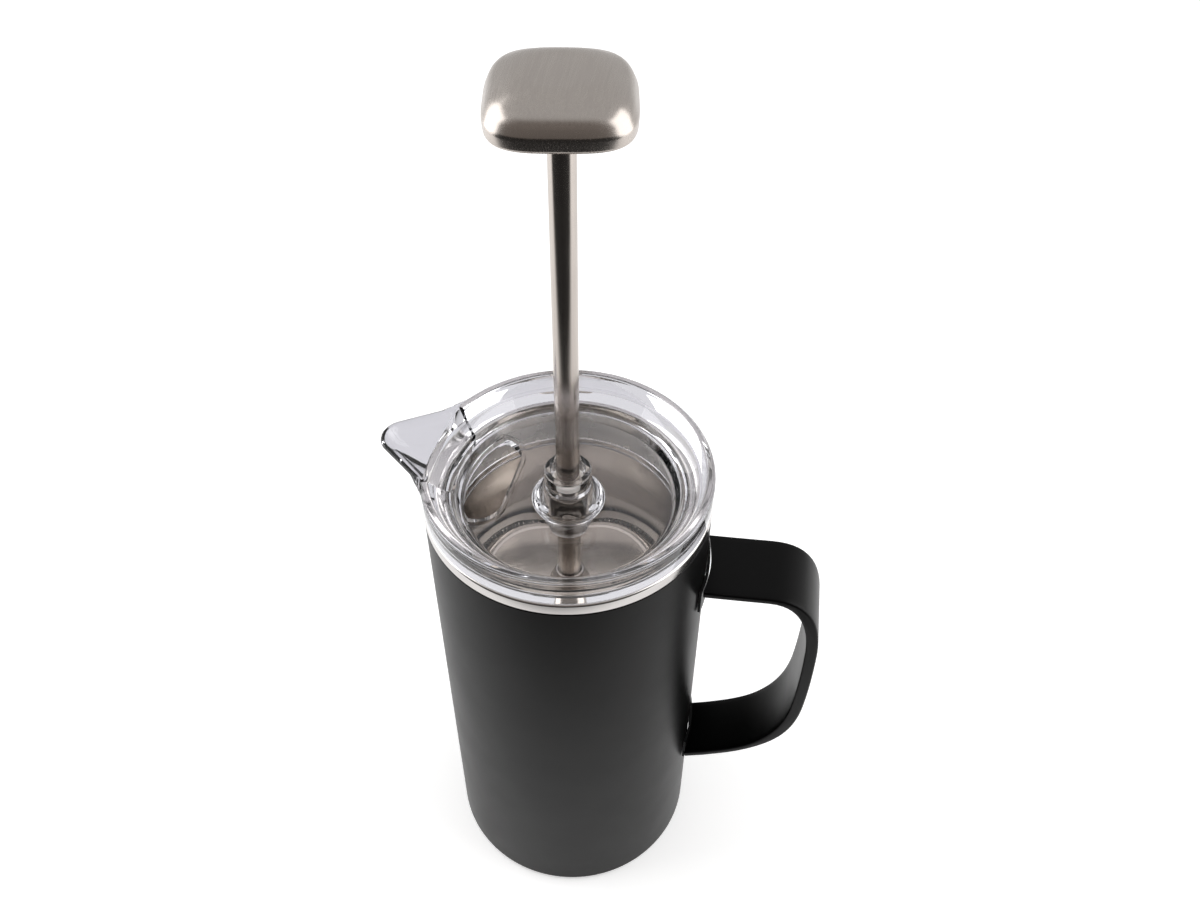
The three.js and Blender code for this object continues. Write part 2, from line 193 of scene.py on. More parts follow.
class Graph:
    """A node tree under construction. add() makes a node; put() sets or links one of its inputs."""

    def __init__(self, tree):
        self.tree = tree

    def add(self, kind, settings=None, *values, out=0, **named):
        node = self.tree.nodes.new("ShaderNode" + kind)
        for key, value in (settings or {}).items():
            setattr(node, key, value)
        for key, value in [*enumerate(values), *named.items()]:
            self.put(node, key.replace("_", " ") if isinstance(key, str) else key, value)
        return Wire(self, node.outputs[out])

    def put(self, node, key, value):
        if isinstance(value, Wire):
            self.tree.links.new(value.socket, node.inputs[key])
        elif value is not None:
            node.inputs[key].default_value = value

    def parts(self, vector):
        """The X, Y and Z of a vector."""
        node = self.tree.nodes.new("ShaderNodeSeparateXYZ")
        self.put(node, 0, vector)
        return [Wire(self, socket) for socket in node.outputs]

    def step(self, value, start, end):
        """Rises smoothly from 0 at start to 1 at end."""
        return self.add("MapRange", {"interpolation_type": "SMOOTHSTEP"}, value, start, end, 0.0, 1.0)

    def ray(self, kind):
        """1 for one kind of light ray, such as those from the camera, and 0 for all others."""
        return self.add("LightPath", None, out=f"Is {kind} Ray")

    def blend(self, factor, first, second):
        """Mixes two colours."""
        node = self.tree.nodes.new("ShaderNodeMix")
        node.data_type = "RGBA"
        for key, value in ((0, factor), (6, first), (7, second)):
            self.put(node, key, value)
        return Wire(self, node.outputs[2])


class Finish(Graph):
    """A material under construction, with a Principled shader whose inputs surface() sets."""

    def __init__(self, name):
        self.material = bpy.data.materials.new(name)
        self.material.use_nodes = True
        super().__init__(self.material.node_tree)
        self.shader = self.tree.nodes["Principled BSDF"]
        self.output = self.tree.nodes["Material Output"]

    def surface(self, **values):
        for key, value in values.items():
            self.put(self.shader, key.replace("_", " "), value)

    def place(self, scale=(1, 1, 1), turn=0.0):
        """Object coordinates, stretched and turned about the Z axis."""
        object_place = self.add("TexCoord", out=3)
        return self.add("Mapping", None, object_place, Rotation=(0, 0, turn), Scale=scale)

    def noise(self, place, scale, detail=3.0, roughness=0.55):
        return self.add("TexNoise", None, place, Scale=scale, Detail=detail, Roughness=roughness)

    def span(self, value, low, high, start=0.0, end=1.0):
        """Carries a value's range from start..end over to low..high."""
        return self.add("MapRange", None, value, start, end, low, high)

    def bump(self, height, strength, distance):
        return self.add("Bump", None, Strength=strength, Distance=distance, Height=height)


def shade(colour, by=1.0):
    return (*[min(1.0, part * by) for part in colour], 1.0)


def grey(level):
    return (level, level, level, 1.0)


def powder_coat():
    """Matt black powder coat: fine orange peel, slightly uneven gloss."""
    finish = Finish("powder_coat")
    place = finish.place()
    peel = finish.noise(place, 2600.0, 2.0, 0.5)
    soft = finish.noise(place, 45.0, 3.0)
    colour = finishes().coat
    finish.surface(
        Base_Color=finish.blend(soft, shade(colour, 0.9), shade(colour, 1.12)),
        Roughness=finish.span(soft + peel * 0.25, 0.31, 0.38, 0.3, 0.95),
        Normal=finish.bump(peel, 0.12, 0.00006),
        Specular_IOR_Level=0.125,
    )
    return finish.material


def brushed_steel(name, colour, stretch, turn, roughness):
    """Satin steel whose fine scratches run along the axis with the small stretch."""
    finish = Finish(name)
    scratches = finish.noise(finish.place(stretch, turn), 1.0, 4.0, 0.7)
    cloud = finish.noise(finish.place(), 60.0, 2.0)
    tone = finish.span(scratches * 0.75 + cloud * 0.25, 0.0, 1.0, 0.25, 0.75)
    finish.surface(
        Base_Color=finish.blend(tone, shade(colour, 0.9), shade(colour, 1.08)),
        Metallic=1.0,
        Roughness=finish.span(tone, roughness - 0.04, roughness + 0.06),
        Normal=finish.bump(scratches, 0.03, 0.00004),
    )
    return finish.material


def turned_steel(name, colour, roughness, lines, depth=0.08):
    """Steel with fine rings left by turning or spinning, which follow the height and the radius."""
    finish = Finish(name)
    place = finish.add("TexCoord", out=3)
    x, y, z = finish.parts(place)
    radius = (x * x + y * y).maths("SQRT")
    rings = finish.add("CombineXYZ", None, radius * lines, z * lines, 0.0)
    grain = finish.noise(rings, 1.0, 3.0, 0.65)
    cloud = finish.noise(place, 40.0, 2.0)
    finish.surface(
        Base_Color=finish.blend(cloud, shade(colour, 0.93), shade(colour, 1.05)),
        Metallic=1.0,
        Roughness=finish.span(grain, roughness - 0.03, roughness + 0.05, 0.3, 0.7),
        Normal=finish.bump(grain, depth, 0.00003),
    )
    return finish.material


def woven_mesh():
    """Fine woven steel mesh: wires cross over and under, with painted shade in the gaps between."""
    finish = Finish("woven_mesh")
    pitch = sizes().weave
    across = finish.parts(finish.add("TexCoord", out=3))[:2]
    waves = [(part * (math.pi / pitch)).maths("SINE").maths("ABSOLUTE") for part in across]
    wires = waves[0].maths("MAXIMUM", waves[1])
    colour = finishes().sheet
    finish.surface(
        # The gaps between the wires are painted dark: painted shade for the space seen through the openings.
        Base_Color=finish.blend(finish.span(wires, 0.0, 1.0, 0.55, 0.95), shade(colour, 0.12), shade(colour)),
        Metallic=1.0,
        Roughness=0.32,
        Normal=finish.bump(wires, 0.6, 0.0001),
    )
    return finish.material


def see_through(name, colour, roughness, variation, ior, clear=1.0):
    """Clear moulding that lets the lamps through, so that what it covers stays lit."""
    finish = Finish(name)
    ripple = finish.noise(finish.place(), 90.0, 2.0)
    finish.surface(
        Base_Color=shade(colour),
        Roughness=finish.span(ripple, roughness, roughness + variation, 0.35, 0.75),
        Normal=finish.bump(ripple, 0.05, 0.0003),
        Transmission_Weight=clear,
        IOR=ior,
    )
    window = finish.add("BsdfTransparent", None, shade(colour, 0.97))
    solid = Wire(finish, finish.shader.outputs[0])
    mixed = finish.add("MixShader", None, finish.ray("Shadow"), solid, window)
    finish.tree.links.new(mixed.socket, finish.output.inputs["Surface"])
    return finish.material


# ---- mesh helpers: millimetres in, metres out ----
def linked(item):
    bpy.context.scene.collection.objects.link(item)
    return item


def baked(item):
    """The mesh of an object with its modifiers or its curve worked out."""
    bpy.context.view_layer.update()
    return bpy.data.meshes.new_from_object(item.evaluated_get(bpy.context.evaluated_depsgraph_get()))


def finished(name, bm, material, body, replaces, sharp=40):
    """Turns a bmesh in millimetres into a piece in metres that rides on its body."""
    bmesh.ops.scale(bm, vec=(MM, MM, MM), verts=bm.verts)
    dress(as_object(name, bm), material, body, replaces, sharp)


def dress(piece, material, body, replaces, sharp=40):
    """Gives a piece its material and body, in place of its CAD nodes."""
    mesh = piece.data
    mesh.shade_smooth()
    mesh.set_sharp_from_angle(angle=math.radians(sharp))
    mesh.materials.clear()
    mesh.materials.append(material)
    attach(piece, body)
    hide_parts(*replaces)


def refinish(material, *nodes):
    """Gives CAD nodes that are kept as they are a better material."""
    for node in nodes:
        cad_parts[node].data.materials.clear()
        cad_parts[node].data.materials.append(material)


def smooth(t):
    """Eases from 0 to 1 as t goes from 0 to 1, and holds beyond."""
    t = min(1, max(0, t))
    return t * t * (3 - 2 * t)


def rounded(outline, segments=4):
    """An outline of (radius, height, rounding) corners with each rounded corner drawn as an arc."""
    points = []
    for i, corner in enumerate(outline):
        here = Vector(corner[:2])
        size = corner[2] if len(corner) > 2 else 0
        if not size:
            points.append(here)
            continue
        before = Vector(outline[i - 1][:2]) - here
        after = Vector(outline[(i + 1) % len(outline)][:2]) - here
        half = before.angle(after) / 2
        reach = min(size / math.tan(half), before.length * 0.48, after.length * 0.48)
        radius = reach * math.tan(half)
        start, end = here + before.normalized() * reach, here + after.normalized() * reach
        centre = here + (before.normalized() + after.normalized()).normalized() * (radius / math.sin(half))
        for k in range(segments + 1):
            swing = (start - centre).lerp(end - centre, k / segments).normalized()
            points.append(centre + swing * radius)
    return points


def turned(outline, steps, segments=4):
    """A bmesh of an outline turned once about the Z axis."""
    bm = bmesh.new()
    points = rounded(outline, segments)
    verts = [bm.verts.new((point.x, 0, point.y)) for point in points]
    edges = [bm.edges.new((verts[i - 1], verts[i])) for i in range(len(verts))]
    spun = [edge for edge in edges if any(vert.co.x > 1e-6 for vert in edge.verts)]
    bmesh.ops.delete(bm, geom=[edge for edge in edges if edge not in spun], context="EDGES")
    bmesh.ops.spin(bm, geom=bm.verts[:] + bm.edges[:], cent=(0, 0, 0), axis=(0, 0, 1), dvec=(0, 0, 0),
                   angle=2 * math.pi, steps=steps, use_merge=True, use_duplicate=False)
    bmesh.ops.remove_doubles(bm, verts=bm.verts, dist=1e-4)
    bmesh.ops.recalc_face_normals(bm, faces=bm.faces)
    return bm


def turn_about_z(bm, angle):
    bmesh.ops.rotate(bm, cent=(0, 0, 0), matrix=Matrix.Rotation(angle, 3, "Z"), verts=bm.verts)
    return bm


def squared(bm, width):
    """Pushes a turned shape out from circles to rounded squares."""
    for vert in bm.verts:
        reach = math.hypot(vert.co.x, vert.co.y)
        if reach < 1e-6:
            continue
        c, s = abs(vert.co.x) / reach, abs(vert.co.y) / reach
        stretch = (c ** KNOB_SQUARENESS + s ** KNOB_SQUARENESS) ** (-1 / KNOB_SQUARENESS)
        factor = 1 + (stretch - 1) * smooth((reach - 0.3 * width) / (0.5 * width))
        vert.co.x *= factor
        vert.co.y *= factor
    return turn_about_z(bm, KNOB_TURN)


def as_object(name, bm):
    """Moves a bmesh into a new object of the scene."""
    mesh = bpy.data.meshes.new(name)
    bm.to_mesh(mesh)
    bm.free()
    return linked(bpy.data.objects.new(name, mesh))


def combine(base, tool, operation):
    """Joins, cuts or trims base by tool, which is used up."""
    modifier = base.modifiers.new("combine", "BOOLEAN")
    modifier.operation = operation
    modifier.solver = "EXACT"
    modifier.object = tool
    mesh = baked(base)
    base.modifiers.clear()
    base.data = mesh
    bpy.data.objects.remove(tool)


# ---- pot ----
class PRESS_OT_pot(bpy.types.Operator):
    """Outer shell, liner and base of the double-walled pot"""
    bl_idname = "press.pot"
    bl_label = "Pot"

    def execute(self, context):
        around = sizes().around
        coat = powder_coat()
        shell = turned([
            (BASE_DISC_RADIUS + GAP, 0), (POT_RADIUS, 0, 3), (POT_RADIUS, COAT_TOP, 0.3),
            (POT_RADIUS - WALL, COAT_TOP, 0.2), (POT_RADIUS - WALL, WALL, 2.1),
            (BASE_DISC_RADIUS + GAP, WALL),
        ], around, 8)
        finished("pot_shell", shell, coat, "vessel", ["outer_shell"])
        floor = LINER_UNDER + LINER_WALL
        inside = POT_RADIUS - WALL - GAP
        liner = turned([
            (0, floor), (BORE_RADIUS, floor, LINER_CORNER), (BORE_RADIUS, RIM_TOP, 2),
            (POT_RADIUS, RIM_TOP, 0.9), (POT_RADIUS, COAT_TOP + GAP, 0.3), (inside, COAT_TOP + GAP),
            (inside - 1.2, RIM_TOP - 2.6),
            (BORE_RADIUS + LINER_WALL, RIM_TOP - 3.2, 0.8),
            (BORE_RADIUS + LINER_WALL, LINER_UNDER, LINER_CORNER + LINER_WALL), (0, LINER_UNDER),
        ], around, 8)
        steel = turned_steel("liner_steel", finishes().liner, 0.17, 2400.0)
        finished("pot_liner", liner, steel, "vessel", ["inner_vessel"])
        plain = turned_steel("plain_steel", finishes().sheet, 0.3, 1500.0)
        refinish(coat, "base_plate")
        refinish(plain, "evacuation_plug", "getter_capsule")
        return {"FINISHED"}


# ---- handle ----
def bezier(p0, p1, p2, p3, steps):
    """Points along a curve, without its first."""
    points = []
    for i in range(1, steps + 1):
        t = i / steps
        weights = ((1 - t) ** 3, 3 * t * (1 - t) ** 2, 3 * t * t * (1 - t), t ** 3)
        points.append(sum((Vector(p) * w for p, w in zip((p0, p1, p2, p3), weights)), Vector((0, 0))))
    return points


def strap_line(start, steps=14):
    """The strap's outer line seen from the side, from its upper end to its foot."""
    top, reach, foot = STRAP_TOP, STRAP_REACH, STRAP_FOOT
    first, shoulder = Vector((start, top - 0.9)), Vector((SHOULDER, top))
    line = [first.lerp(shoulder, i / 6) for i in range(7)]
    line += bezier((SHOULDER, top), (reach - 6.8, top + 0.6), (reach - 1.2, 158.6), (reach - 0.3, GRIP_TOP),
                   steps)
    line += bezier(line[-1], (reach + 0.1, 128), (reach, 112), (reach - 1, 100), steps)
    line += bezier(line[-1], (reach - 2.6, foot + 32.4), (reach - 7.7, foot + 23.6), (77, foot + 15.6), steps)
    line += bezier(line[-1], (72.7, foot + 12), (67.7, foot + 8.9), (62, foot + 6.4), 6)
    heel = Vector((start, foot - 0.8 + (start - 47) * 0.48))
    line += [line[-1].lerp(heel, i / 5) for i in range(1, 6)]
    return line


def inside_of(outer):
    """The inner line, one thickness inside the outer one and thickest at the grip."""
    inner = []
    for i, point in enumerate(outer):
        along = (outer[min(i + 1, len(outer) - 1)] - outer[max(i - 1, 0)]).normalized()
        t = (point.x - SHOULDER - 1) / (STRAP_REACH - SHOULDER - 3)
        thickness = STRAP_ARM + (STRAP_GRIP - STRAP_ARM) * smooth(t)
        inner.append(point + Vector((along.y, -along.x)) * thickness)
    return inner


class PRESS_OT_handle(bpy.types.Operator):
    """Strap handle and the two pads that join it to the pot"""
    bl_idname = "press.handle"
    bl_label = "Handle"

    def execute(self, context):
        coat = bpy.data.materials["powder_coat"]
        finished("strap_handle", self.strap(), coat, "vessel", ["handle_strap"], 50)
        for name, node in (("upper_pad", "handle_upper_saddle"), ("lower_pad", "handle_lower_saddle")):
            finished(name, self.pad(node), coat, "vessel", [node])
        return {"FINISHED"}

    def strap(self):
        """The bent strip with rounded edges, narrower at its foot and curved to the pads at its ends."""
        end = POT_RADIUS + PAD_TOP + GAP
        outer = strap_line(end)
        bm = bmesh.new()
        outline = outer + inside_of(outer)[::-1]
        face = bm.faces.new([bm.verts.new((p.x, -STRAP_WIDTH / 2, p.y)) for p in outline])
        bridge = bmesh.ops.extrude_face_region(bm, geom=[face])["geom"]
        far = [v for v in bridge if isinstance(v, bmesh.types.BMVert)]
        bmesh.ops.translate(bm, verts=far, vec=(0, STRAP_WIDTH, 0))
        rims = [e for e in bm.edges if abs(e.verts[0].co.y - e.verts[1].co.y) < 1e-6]
        bmesh.ops.bevel(bm, geom=rims, offset=sizes().edge / MM, offset_type="OFFSET", segments=4,
                        profile=0.5, affect="EDGES", material=-1)
        across = [e for e in bm.edges if abs(e.verts[0].co.y - e.verts[1].co.y) > STRAP_WIDTH / 2]
        bmesh.ops.subdivide_edges(bm, edges=across, cuts=11, use_grid_fill=True)
        narrow = STRAP_FOOT_WIDTH / STRAP_WIDTH
        for vert in bm.verts:
            vert.co.y *= narrow + (1 - narrow) * smooth((vert.co.z - STRAP_FOOT) / (GRIP_TOP - STRAP_FOOT))
            near = min(1, max(0, 1 - (vert.co.x - end) / 6))
            vert.co.x -= (end - math.sqrt(end ** 2 - vert.co.y ** 2)) * near
        bmesh.ops.recalc_face_normals(bm, faces=bm.faces)
        return bm

    def pad(self, node):
        """A curved pad as tall and as wide as its CAD node."""
        low, high = millimetres(node)
        near, far = POT_RADIUS + GAP, POT_RADIUS + PAD_TOP
        half = math.asin(high.y / far)
        bm = bmesh.new()
        corners = [(near, low.z), (far, low.z), (far, high.z), (near, high.z)]
        section = bm.faces.new([bm.verts.new((x, 0, z)) for x, z in corners])
        turn_about_z(bm, -half)
        bmesh.ops.spin(bm, geom=[section, *section.edges, *section.verts], cent=(0, 0, 0), axis=(0, 0, 1),
                       dvec=(0, 0, 0), angle=2 * half, steps=16, use_merge=False, use_duplicate=False)
        bmesh.ops.recalc_face_normals(bm, faces=bm.faces)
        return bm


# ---- lid ----
BEAK_SIDE = math.radians(35.5)
BEAK_TIP = 8.4
BEAK_ROOT = 43
SILL_X, SILL_Z = -46.2, 205.4


def beak_plan(inset, shorten, height):
    """The beak's outline at one height: straight sides and a round tip."""
    sine = math.sin(BEAK_SIDE)
    reach = SPOUT_REACH - shorten
    radius = BEAK_TIP - min(inset, 4)
    apex = reach - radius + radius / sine
    root = (apex - BEAK_ROOT) * math.tan(BEAK_SIDE)
    points = [(-BEAK_ROOT, root, height), (-BEAK_ROOT, -root, height)]
    for i in range(25):
        angle = math.pi / 2 + BEAK_SIDE + (math.pi - 2 * BEAK_SIDE) * i / 24
        points.append((radius - reach + radius * math.cos(angle), radius * math.sin(angle), height))
    return points


def root_plan(side, inset, height):
    """A small corner piece at one height, which rounds the place where the beak leaves the rim."""
    corners = ((51, 15.7), (43.4, 24.6), (45.2, 17.6))
    return [(inset - x, side * (y - inset), height) for x, y in corners]


def hull(*outlines):
    """The smallest solid without hollows round outlines at several heights."""
    bm = bmesh.new()
    for outline in outlines:
        for point in outline:
            bm.verts.new(point)
    done = bmesh.ops.convex_hull(bm, input=bm.verts)
    spare = dict.fromkeys(done["geom_interior"] + done["geom_unused"])
    loose = [item for item in spare if isinstance(item, bmesh.types.BMVert)]
    bmesh.ops.delete(bm, geom=loose, context="VERTS")
    bmesh.ops.recalc_face_normals(bm, faces=bm.faces)
    return bm


def opening_plan(grow, steps=12):
    """The pour opening's outline: a rounded D with its long curved side next to the well's wall."""
    near, far, half, radius = -20.6 + grow, -36.2 - grow, 20 + grow, 9 + grow
    side = [Vector((near - radius + radius * math.cos(a), half - radius + radius * math.sin(a)))
            for a in (math.pi / 2 * i / steps for i in range(steps + 1))]
    side += bezier(side[-1], (far + 6, half - 0.5), (far + 3, half - 3), (far + 1.8, half - 8), steps)
    side += bezier(side[-1], (far + 0.4, half - 14), (far, 4), (far, 0), steps)
    return side + [Vector((point.x, -point.y)) for point in reversed(side[:-1])]


def raised(outline, bottom, top):
    """A flat outline made into an upright block."""
    bm = bmesh.new()
    face = bm.faces.new([bm.verts.new((point.x, point.y, bottom)) for point in outline])
    grown = bmesh.ops.extrude_face_region(bm, geom=[face])["geom"]
    lifted = [item for item in grown if isinstance(item, bmesh.types.BMVert)]
    bmesh.ops.translate(bm, verts=lifted, vec=(0, 0, top - bottom))
    bmesh.ops.recalc_face_normals(bm, faces=bm.faces)
    return bm


def box(low, high):
    bm = bmesh.new()
    bmesh.ops.create_cube(bm, size=1)
    low, high = Vector(low), Vector(high)
    bmesh.ops.scale(bm, vec=high - low, verts=bm.verts)
    bmesh.ops.translate(bm, vec=(low + high) / 2, verts=bm.verts)
    return bm


def lid_body():
    """The turned part of the lid: skirt, flange, rim, well, floor, boss and guide tube."""
    return turned([
        (39.9, SKIRT_BOTTOM, 0.5), (42.6, SKIRT_BOTTOM, 0.6), (42.6, 181.4, 0.3), (41.2, 181.4, 0.2),
        (41.2, 196.4, 0.2), (42.6, 196.4, 0.3), (42.6, LID_SEAT - 0.2, 0.4), (44, LID_SEAT, 0.4),
        (POT_RADIUS, LID_SEAT, 0.9), (POT_RADIUS, LID_TOP, 1.8), (47.2, LID_TOP, 1.2), (44.6, 206.4, 2),
        (39.4, 201, 3), (36.8, WELL_FLOOR, 1.8), (12.4, WELL_FLOOR, 1), (11.9, 197.6, 1),
        (8.3, 202.4, 2), (8.1, BOSS_TOP, 0.6), (5.8, BOSS_TOP, 0.4), (5.8, 203, 0.3),
        (4.4, 202.6, 0.2), (4.4, GUIDE_BOTTOM, 0.3),
        (6.6, GUIDE_BOTTOM, 0.7), (7.4, 184, 2), (10.4, 190.8, 3), (12, FLOOR_UNDER, 1.2),
        (38.6, FLOOR_UNDER, 1.2), (39.2, 198.6, 0.3), (39.9, 198.6, 0.3),
    ], sizes().around, 5)


class PRESS_OT_lid(bpy.types.Operator):
    """Clear lid with its well, pour opening, beak and rod guide"""
    bl_idname = "press.lid"
    bl_label = "Lid"

    def execute(self, context):
        lid = as_object("clear_lid", lid_body())
        top = LID_TOP
        combine(lid, as_object("beak", hull(
            beak_plan(0.5, 0.5, top - 0.35), beak_plan(0.1, 0.1, top - 0.6), beak_plan(0, 0, top - 1),
            beak_plan(0.3, 0.3, top - 1.6), beak_plan(4, 4, top - 6), beak_plan(4, 14, LID_SEAT + 1),
        )), "UNION")
        for side in (-1, 1):
            combine(lid, as_object("root", hull(
                root_plan(side, 0.5, top - 0.35), root_plan(side, 0.1, top - 0.6),
                root_plan(side, 0, top - 1), root_plan(side, 0.3, top - 1.6), root_plan(side, 2.6, top - 5),
            )), "UNION")
        channel = as_object("channel", hull(
            beak_plan(1.4, 1.4, top + 1), beak_plan(1.5, 1.5, top - 0.8), beak_plan(2.6, 3, top - 2.4),
            beak_plan(4, 5.6, top - 4), beak_plan(4, 14, SILL_Z),
        ))
        combine(channel, as_object("beyond", box((-90, -40, 190), (SILL_X, 40, 220))), "INTERSECT")
        combine(lid, channel, "DIFFERENCE")
        gate = [(x, side * half, z) for side in (-1, 1) for x, half, z in (
            (SILL_X - 0.1, 19.5, top + 1), (SILL_X - 0.1, 15, SILL_Z),
            (-38, 13, SILL_Z - 6), (-38, 17, top + 1))]
        combine(lid, as_object("gate", hull(gate)), "DIFFERENCE")
        collar = as_object("collar", raised(opening_plan(1.5), WELL_FLOOR - 1, WELL_FLOOR + 1.6))
        well = turned([(0, FLOOR_UNDER + 0.4), (37, FLOOR_UNDER + 0.4), (37, 199), (0, 199)], sizes().around)
        combine(collar, as_object("well", well), "INTERSECT")
        combine(lid, collar, "UNION")
        hole = as_object("hole", raised(opening_plan(0), FLOOR_UNDER - 2, WELL_FLOOR + 3))
        reach = turned([(0, 190), (36.4, 190), (36.4, 200), (0, 200)], sizes().around)
        combine(hole, as_object("reach", reach), "INTERSECT")
        combine(lid, hole, "DIFFERENCE")
        bm = bmesh.new()
        bm.from_mesh(lid.data)
        bmesh.ops.remove_doubles(bm, verts=bm.verts, dist=0.01)
        bmesh.ops.dissolve_degenerate(bm, edges=bm.edges, dist=0.01)
        turn_about_z(bm, LID_TURN)
        bmesh.ops.scale(bm, vec=(MM, MM, MM), verts=bm.verts)
        bm.to_mesh(lid.data)
        bm.free()
        clear = see_through("clear_plastic", finishes().clear, 0.0, 0.03, PLASTIC_IOR)
        dress(lid, clear, "lid_top", ["lid"], 32)
        return {"FINISHED"}


class PRESS_OT_seals(bpy.types.Operator):
    """Silicone ring round the lid's skirt and the small seal round the rod"""
    bl_idname = "press.seals"
    bl_label = "Seals"

    def execute(self, context):
        soft = see_through("silicone", finishes().silicone, 0.25, 0.1, SILICONE_IOR, 0.7)
        low, high = millimetres("lid_gasket")
        outline = [(41.5, low.z, 0.3), (42.5, low.z, 0.3)]
        for ridge in (183.4, 188.2, 193):
            outline += [(42.5, ridge - 0.9, 0.3), (high.x, ridge, 0.35), (42.5, ridge + 0.9, 0.3)]
        outline += [(42.5, high.z, 0.3), (41.5, high.z, 0.3)]
        finished("silicone_ring", turned(outline, sizes().around), soft, "lid_seal",
                 ["lid_gasket"])
        seal = turned([(4.3, 203.8, 0.3), (5.4, 203.8, 0.3), (5.4, 205.8, 0.3), (4.3, 205.8, 0.3)],
                      sizes().around_small)
        finished("rod_ring", seal, soft, "lid_top", ["rod_seal"])
        return {"FINISHED"}


# ---- plunger ----
class PRESS_OT_plunger(bpy.types.Operator):
    """Rod, knob and collar of the plunger"""
    bl_idname = "press.plunger"
    bl_label = "Plunger"

    def execute(self, context):
        small = sizes().around_small
        brushed = finishes().brushed
        along_rod = brushed_steel("rod_steel", brushed, (1500, 1500, 30), 0.0, 0.17)
        foot, k = COLLAR_BOTTOM, KNOB_BOTTOM
        rod = turned([
            (0, ROD_BOTTOM), (STUD_RADIUS, ROD_BOTTOM, 0.4), (STUD_RADIUS, foot, 0.1),
            (ROD_RADIUS, foot, 0.3), (ROD_RADIUS, k + 2, 0.3), (STUD_RADIUS, k + 2, 0.1),
            (STUD_RADIUS, ROD_TOP, 0.4), (0, ROD_TOP),
        ], small)
        finished("rod", rod, along_rod, "rod_and_knob", ["plunger_rod"])
        grain = brushed_steel("knob_steel", brushed, (1500, 40, 1500), -KNOB_TURN, 0.25)
        top = [
            (0, k + 12.6), (11.5, k + 12.4, 12), (18.2, k + 8.6, 7), (20.1, k + 4.2, 3), (19.9, k, 2.6),
            (17.2, k), (17.2, k + 1.5), (18.4, k + 2.6, 0.8), (18.8, k + 4.2, 1.5),
            (17, k + 7.6, 2), (11, k + 11, 6), (0, k + 11.2),
        ]
        finished("knob", squared(turned(top, 160, 8), KNOB_HALF_WIDTH), grain, "rod_and_knob",
                 ["knob_shell"], 60)
        plate = turned([(ROD_RADIUS + GAP, k + 0.2, 0.1), (16.9, k + 0.2, 0.3), (16.9, k + 1.2, 0.1),
                        (ROD_RADIUS + GAP, k + 1.2, 0.1)], 128)
        finished("knob_plate", squared(plate, KNOB_HALF_WIDTH), grain, "rod_and_knob",
                 ["knob_base_plate"])
        refinish(bpy.data.materials["plain_steel"], "knob_insert")
        bell = turned([
            (ROD_RADIUS + GAP, foot), (7.4, foot, 0.3), (7.3, foot + 2.2, 1.2), (6, foot + 5.4, 2),
            (5.3, foot + 8.1, 0.8), (ROD_RADIUS + GAP, foot + 8.1, 0.2),
        ], small, 6)
        finished("bell_collar", bell, turned_steel("collar_steel", brushed, 0.2, 2600.0), "filter_pack",
                 ["rod_collar"])
        return {"FINISHED"}


# ---- filter ----
class PRESS_OT_filter(bpy.types.Operator):
    """Top plate, coil spring, woven screen, cross plate and hub"""
    bl_idname = "press.filter"
    bl_label = "Filter"

    def execute(self, context):
        around = sizes().around
        bore, top, under = STUD_RADIUS + GAP, PLATE_TOP, PLATE_TOP - 0.8
        sheet = turned_steel("sheet_steel", finishes().sheet, 0.16, 1500.0, 0.05)
        plate = turned([
            (bore, under), (32.6, under, 0.8), (38.6, top - 6.2, 0.5), (39.3, top - 5.9, 0.2),
            (33.6, top + 0.5, 0.9), (32.2, top + 0.4, 0.6), (31.2, top, 0.6), (bore, top),
        ], around, 6)
        finished("filter_plate", plate, sheet, "filter_pack", ["filter_top_plate"])
        low, high = millimetres("coil_spring")
        self.coil((low.z + high.z) / 2, high.x, (high.z - low.z) / 2, sheet)
        wire, under = (low.z + high.z) / 2, under - 0.6
        screen = turned([
            (bore, under), (32.1, under, 0.8), (38.3, wire - 2.4, 0.6), (43.4, wire - 2.4, 1.4),
            (43.4, wire + 2.6, 1), (40, wire + 2.6), (40, wire + 2.3), (43.1, wire + 2.3, 0.7),
            (43.1, wire - 2.1, 1.1), (38.6, wire - 2.1, 0.5),
            (32.3, under + 0.3, 0.8), (bore, under + 0.3),
        ], around, 4)
        finished("mesh_filter", screen, woven_mesh(), "filter_pack", ["mesh_screen"])
        refinish(sheet, "cross_plate", "cross_plate_hub")
        return {"FINISHED"}

    def coil(self, height, reach, half, steel):
        """One closed coil spring that runs round the filter's edge."""
        wire = sizes().coil_wire / MM
        turns, per_turn = sizes().coil_turns, 12
        small = half - wire
        ring = reach - half
        curve = bpy.data.curves.new("coil", "CURVE")
        curve.dimensions = "3D"
        curve.bevel_depth = wire * MM
        curve.bevel_resolution = 1
        spline = curve.splines.new("POLY")
        count = turns * per_turn
        spline.points.add(count - 1)
        for i, point in enumerate(spline.points):
            roll, sweep = 2 * math.pi * i / per_turn, 2 * math.pi * i / count
            radius = ring + small * math.cos(roll)
            point.co = (radius * math.cos(sweep) * MM, radius * math.sin(sweep) * MM,
                        (height + small * math.sin(roll)) * MM, 1)
        spline.use_cyclic_u = True
        helix = linked(bpy.data.objects.new("helix", curve))
        mesh = baked(helix)
        bpy.data.objects.remove(helix)
        dress(linked(bpy.data.objects.new("edge_spring", mesh)), steel, "filter_pack",
              ["coil_spring"])


# ---- stage ----
CAMERA_PLACE = Vector((0.04857, -0.26771, 0.49915))
CAMERA_PITCH = math.radians(46.42)
CAMERA_TURN = math.radians(8)
CAMERA_ROLL = math.radians(0.555)
CAMERA_LENS = 35.21
SENSOR_WIDTH = 36
FLOOR_HALF_WIDTH = 6
FLOOR_DROP = 0.0002
LAMPS = (("left_box", (-1, 0.05, 0.5), 10), ("right_box", (1, 0.05, 0.5), 9))
LAMP_AIM = Vector((0, 0, 0.15))
LAMP_SIZE = (1.1, 1.4)


